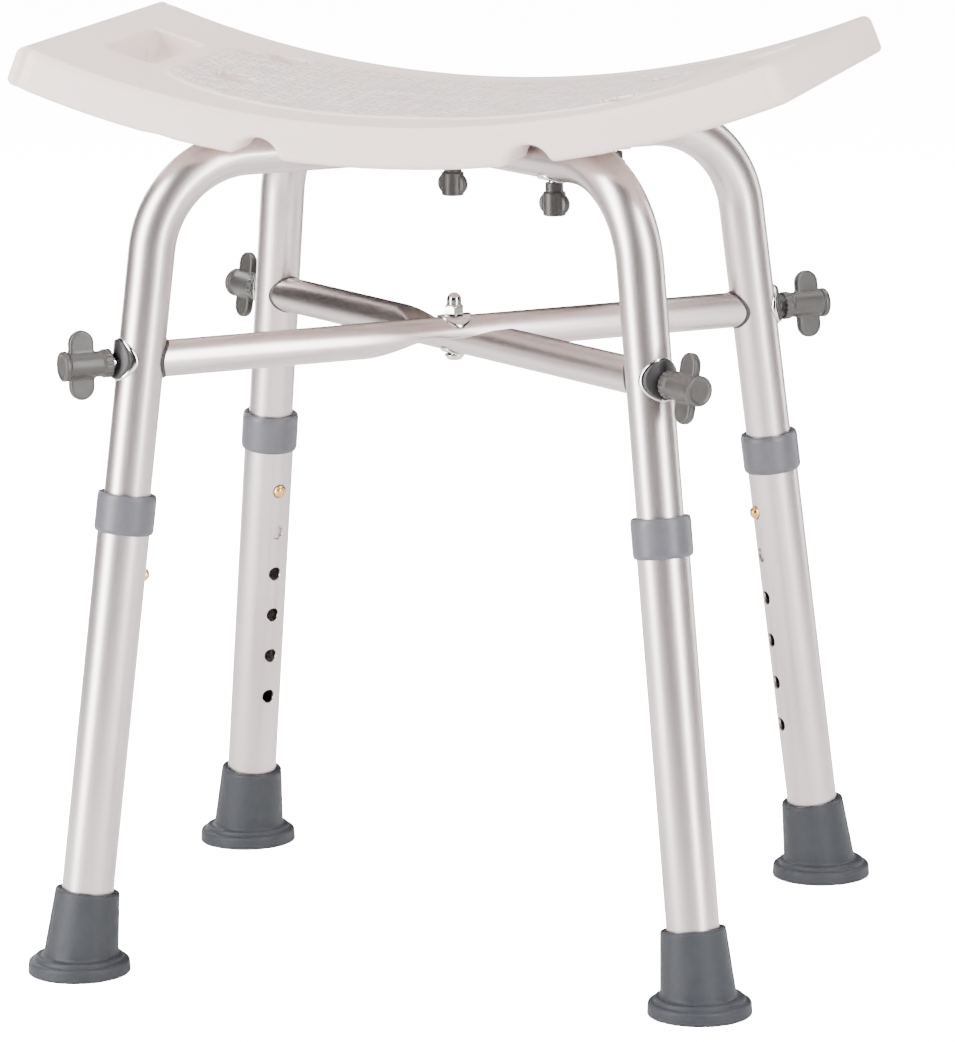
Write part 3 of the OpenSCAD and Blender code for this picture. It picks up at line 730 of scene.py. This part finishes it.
def make_knobs():
    turn = {"fl": 0.0, "bl": math.radians(8), "fr": math.radians(-9), "br": math.radians(-9)}
    knob = moulded(brace_knob_distance, (-20, -10, -1), (20, 10, 29), (0.5, 0.5, 0.5))
    for k in CORNERS:
        piece(f"brace_wing_knob_{k}", knob, KNOB_PLASTIC, f"brace_knob_{k}", [f"brace_knob_{k}"],
              bar_place(k, BRACE_KNOB_R) @ Matrix.Rotation(turn[k], 4, "Z"), sharp=60)
    knob = moulded(seat_knob_distance, (-10.5, -8, -1), (10.5, 8, 19), (0.4, 0.4, 0.4))
    top = RUN_Z - TUBE_R - WASHER_T - 0.2
    screw_turn = math.radians(20)
    disc = on_tube(washer(WASHER_BORE, radius=9.5, low=GAP, high=GAP + WASHER_T * 0.7, edge=0.3), TUBE_R)
    for name, place in SEAT_SCREWS.items():
        heading = HEADING["br"] if name == "back" else HEADING["fr"]
        down = Matrix.Rotation(math.pi, 4, "X")
        piece(f"seat_wing_screw_{name}", knob, KNOB_PLASTIC, f"seat_knob_{name}",
              [f"seat_knob_{name}"],
              Matrix.Translation((place.x, place.y, top)) @ down @ Matrix.Rotation(screw_turn, 4, "Z"),
              sharp=60)
        piece(f"seat_screw_washer_{name}", disc, NICKEL_STEEL, "frame",
              ["seat_screw_washers"] if name == "centre" else (),
              Matrix.Translation((place.x, place.y, RUN_Z)) @ Matrix.Rotation(heading, 4, "Z") @ down)


# ---- Building the stool ----

make_seat()
make_frame_tube(1, "br", 1)
make_frame_tube(2, "fr", -1)
extension = pierced_tube()
boot = moulded(foot_distance, (-30, -30, -1), (30, 30, 50), (1.0, 1.0, 1.0))
for corner_name in CORNERS:
    make_leg(corner_name, extension, boot)
make_braces()
make_knobs()

# The seat inserts, studs, springs and foot discs keep their CAD shape
HIDDEN_FINISH = {"seat_inserts": BRASS, "brace_stud": NICKEL_STEEL, "seat_stud": NICKEL_STEEL,
                 "snap_spring": NICKEL_STEEL, "foot_disc": NICKEL_STEEL}
for node_name, obj in frame["nodes"].items():
    for start, metal in HIDDEN_FINISH.items():
        if node_name.startswith(start):
            obj.data.materials.clear()
            obj.data.materials.append(metal)


# ---- Floor, light and camera ----

def make_floor():
    made, tree, shader = surface("white_paper_sweep", Roughness=0.9)
    place = add(tree, "TexCoord", {}).outputs["Object"]
    fibre = add(tree, "TexNoise", {"Vector": place, "Scale": 1 / (2 * MM), "Detail": 2.0})
    base = add(tree, "MixRGB", {"Fac": fibre.outputs["Fac"],
                                "Color1": hue("#f4f3f2"), "Color2": hue("#f7f6f5")})
    tree.links.new(base.outputs["Color"], shader.inputs["Base Color"])
    # Seen directly the paper is burnt out to white, so its shadows barely show; from below it is clear
    glare = add(tree, "Emission", {"Color": (1, 1, 1, 1), "Strength": 14.0})
    paper = add(tree, "BsdfDiffuse", {"Color": (9, 9, 9, 1)})
    burnt = add(tree, "AddShader", {0: glare.outputs[0], 1: paper.outputs[0]})
    rays = add(tree, "LightPath", {})
    seen = add(tree, "MixShader", {0: rays.outputs["Is Camera Ray"],
                                   1: shader.outputs[0], 2: burnt.outputs[0]})
    side = add(tree, "NewGeometry", {}).outputs["Backfacing"]
    clear = add(tree, "BsdfTransparent", {})
    paper_sheet = add(tree, "MixShader", {0: side, 1: seen.outputs[0], 2: clear.outputs[0]})
    tree.links.new(paper_sheet.outputs[0], tree.nodes["Material Output"].inputs["Surface"])
    mesh = bpy.data.meshes.new("floor")
    reach = 30.0
    mesh.from_pydata([(-reach, -reach, 0), (reach, -reach, 0), (reach, reach, 0), (-reach, reach, 0)], [],
                     [(0, 1, 2, 3)])
    mesh.materials.append(made)
    floor = bpy.data.objects.new("floor", mesh)
    bpy.context.scene.collection.objects.link(floor)


def make_softbox(name, place, target, size, power):
    light = bpy.data.lights.new(name, "AREA")
    light.shape = "RECTANGLE"
    light.size, light.size_y = size
    light.energy = power
    obj = bpy.data.objects.new(name, light)
    obj.location = place
    obj.rotation_mode = "QUATERNION"
    obj.rotation_quaternion = (Vector(target) - Vector(place)).to_track_quat("-Z", "Y")
    obj.visible_camera = False
    bpy.context.scene.collection.objects.link(obj)


def make_studio():
    world = bpy.data.worlds.new("studio")
    world.use_nodes = True
    tree = world.node_tree
    tree.nodes.clear()
    seen = add(tree, "Background", {"Color": (1, 1, 1, 1), "Strength": 8.0})
    glow = add(tree, "Background", {"Color": hue("#dcd0ce"), "Strength": 0.05})
    rays = add(tree, "LightPath", {})
    mixed = add(tree, "MixShader", {0: rays.outputs["Is Camera Ray"],
                                    1: glow.outputs[0], 2: seen.outputs[0]})
    add(tree, "OutputWorld", {"Surface": mixed.outputs[0]})
    bpy.context.scene.world = world
    make_softbox("softbox_left", (-0.95, -0.95, 0.75), (0, 0, 0.3), (0.5, 1.6), 68)
    make_softbox("softbox_right", (1.15, -0.75, 0.8), (0, 0, 0.3), (0.3, 1.6), 46)
    make_softbox("strip_behind_left", (-1.1, 1.0, 0.7), (0, 0, 0.3), (0.25, 1.4), 14)
    make_softbox("strip_behind_right", (1.1, 1.0, 0.7), (0, 0, 0.3), (0.25, 1.4), 14)
    make_softbox("softbox_top", (0.0, 0.35, 1.9), (0, 0, 0.4), (1.6, 1.2), 52)


def make_camera():
    """A long lens from the front right, slightly above the seat."""
    yaw, pitch, roll = -0.2775, 0.1966, -0.0103
    distance, aside, height, focal = 3.21965, 0.0117, 0.23047, 5774.33
    image_height, sensor = 1042, 36.0
    forward = Vector((math.sin(yaw) * math.cos(pitch), math.cos(yaw) * math.cos(pitch), -math.sin(pitch)))
    level = Vector((math.cos(yaw), -math.sin(yaw), 0))
    upward = level.cross(forward)
    right = math.cos(roll) * level + math.sin(roll) * upward
    top = math.cos(roll) * upward - math.sin(roll) * level
    camera = bpy.data.cameras.new("camera")
    camera.sensor_width = sensor
    camera.lens = focal / image_height * sensor
    obj = bpy.data.objects.new("camera", camera)
    pose = Matrix((right, top, -forward)).transposed().to_4x4()
    pose.translation = Vector((0, 0, height)) + aside * level - distance * forward
    obj.matrix_world = pose
    bpy.context.scene.collection.objects.link(obj)
    bpy.context.scene.camera = obj


make_floor()
make_studio()
make_camera()
